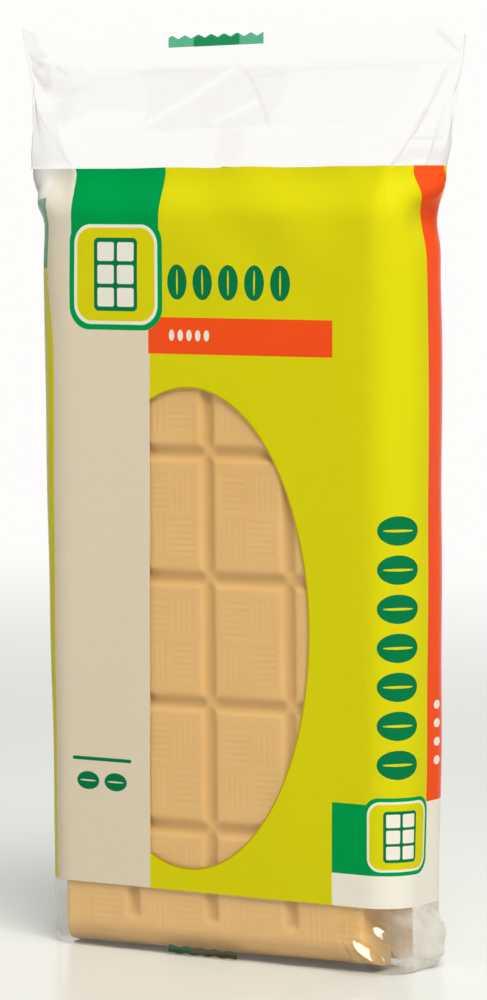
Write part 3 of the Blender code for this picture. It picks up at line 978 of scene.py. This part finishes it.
# Painted shade: the foot marks' inks are darker and browner than the top marks', for the shadow under
# the tablets with chocolate behind them.
shaded_fold_ink = mark_ink("green_ink_in_the_fold_in_shadow", "#4A9A55", "#06502A", 0.8)
shaded_under_ink = mark_ink("green_ink_under_a_layer_more_in_shadow", "#B89A50", "#3F4A10", 0.55)
for name, left, right, depth, ink in (
    ("foot_mark", -14.0, -7.2, -13.40, shaded_fold_ink),
    ("foot_mark_behind", -8.6, 6.5, -13.25, shaded_under_ink),
):
    across = np.linspace(left, right, FOOT_MARK_COLUMNS)
    mark_x, mark_z = np.meshgrid(across, np.linspace(*FOOT_MARK_Z, MARK_ROWS))
    print_mark(name, mark_x, depth, mark_z + 0.2 * waves(mark_x, mark_x, 6, 12), ink)


# The table and the backdrop.
# A white glossy tabletop that runs on into a white sweep, brighter towards the back, under a soft
# key light from the right, a weak fill from the left and one more from above.

SWEEP_START = 2.6
SWEEP_RADIUS = 0.7
SWEEP_TOP = 4.9
SWEEP_STEPS = 24
SWEEP_SIDES = (-3.6, 1.5)
FLOOR_FRONT = -9.0
FLOOR_STEPS = 30
TABLE_COLUMNS = 9
WIDE_FLOOR = 2.7              # how much wider than the sweep the floor is before it
WIDE_FLOOR_END = 1.0


def table_surface():
    """White laminate: pale, slightly warm, with a soft sheen that mirrors the pack faintly. With its
    distance behind the pack it turns into the evenly lit white of the sweep."""
    material, tree, output = new_material("white_laminate")
    place = add_node(tree, "ShaderNodeTexCoord").outputs["Object"]
    split = add_node(tree, "ShaderNodeSeparateXYZ", {"Vector": place})
    surface = add_node(
        tree, "ShaderNodeBsdfPrincipled",
        {"Base Color": linear("#EBEDE9"), "Roughness": 0.2, "IOR": 1.15},
    )
    far = add_node(
        tree, "ShaderNodeMapRange",
        {"Value": split.outputs["Y"], "From Min": 0.28, "From Max": 1.1},
        interpolation_type="SMOOTHSTEP",
    )
    light = add_node(tree, "ShaderNodeEmission", {"Color": linear("#FEFDFB"), "Strength": 1.0})
    both = add_node(
        tree, "ShaderNodeMixShader",
        {0: far.outputs["Result"], 1: surface.outputs["BSDF"], 2: light.outputs["Emission"]},
    )
    tree.links.new(both.outputs["Shader"], output.inputs["Surface"])
    return material


sweep_turn = np.linspace(0, 0.5 * math.pi, SWEEP_STEPS)
sweep_y = SWEEP_START + SWEEP_RADIUS * np.sin(sweep_turn)
sweep_z = SWEEP_RADIUS * (1 - np.cos(sweep_turn))
floor_y = np.linspace(FLOOR_FRONT, SWEEP_START, FLOOR_STEPS)
profile_y = np.concatenate([floor_y, sweep_y, sweep_y[-1:]])
profile_z = np.concatenate([np.zeros(FLOOR_STEPS), sweep_z, [SWEEP_TOP]])
floor_spread = np.where(profile_y < WIDE_FLOOR_END, WIDE_FLOOR, 1.0)
sweep_x = np.linspace(*SWEEP_SIDES, TABLE_COLUMNS)[:, None]
table_x, table_y, table_z = np.broadcast_arrays(sweep_x * floor_spread, profile_y, profile_z)
table_points = np.stack([table_x, table_y, table_z], axis=-1)
table_faces = grid_faces(*table_x.shape)[:, ::-1]
table_mesh = bpy.data.meshes.new("table")
table_mesh.from_pydata(table_points.reshape(-1, 3).tolist(), [], table_faces.tolist())
table_mesh.materials.append(table_surface())
table_mesh.shade_smooth()
table = bpy.data.objects.new("table", table_mesh)
bpy.context.scene.collection.objects.link(table)


def soft_light(name, place, size, power, colour, aim=(0, 0, 0.11)):
    """Square area light at a place, turned to the aim."""
    lamp = bpy.data.lights.new(name, "AREA")
    lamp.shape = "RECTANGLE"
    lamp.size, lamp.size_y = size
    lamp.energy = power
    lamp.color = colour
    item = bpy.data.objects.new(name, lamp)
    item.location = place
    item.rotation_euler = (Vector(aim) - Vector(place)).to_track_quat("-Z", "Y").to_euler()
    bpy.context.scene.collection.objects.link(item)


soft_light("key_right", (0.85, -0.72, 1.42), (0.8, 0.8), 26, (1, 0.985, 0.96))
soft_light("fill_left", (-1.2, -1.0, 0.6), (0.9, 0.9), 1.5, (1, 1, 1))
soft_light("top_soft", (0.5, -0.3, 1.6), (1.3, 1.3), 6, (1, 1, 1), aim=(0, 0, 0))
world = bpy.data.worlds.new("studio")
world.use_nodes = True
background = world.node_tree.nodes["Background"]
background.inputs["Color"].default_value = (1, 1, 1, 1)
background.inputs["Strength"].default_value = 0.12
bpy.context.scene.world = world
bpy.context.scene.view_settings.view_transform = "Standard"


# The camera.
# It stands before the pack's right front edge, as high as the hood, and looks down a little to the
# pack's middle.

CAMERA_AZIMUTH = math.radians(32.33)
CAMERA_DISTANCE = 1.1914
CAMERA_HEIGHT = 0.1967
CAMERA_PITCH = math.radians(3.9308)
CAMERA_LENS = 170.72          # for a sensor 36 mm high
lens = bpy.data.cameras.new("photo_view")
lens.sensor_fit = "AUTO"
lens.sensor_width = 36
lens.lens = CAMERA_LENS
lens.clip_start = 0.05
camera = bpy.data.objects.new("photo_view", lens)
camera_x = CAMERA_DISTANCE * math.sin(CAMERA_AZIMUTH)
camera_y = -CAMERA_DISTANCE * math.cos(CAMERA_AZIMUTH)
camera.location = (camera_x, camera_y, CAMERA_HEIGHT)
camera.rotation_euler = (0.5 * math.pi - CAMERA_PITCH, 0, CAMERA_AZIMUTH)
bpy.context.scene.collection.objects.link(camera)
bpy.context.scene.camera = camera
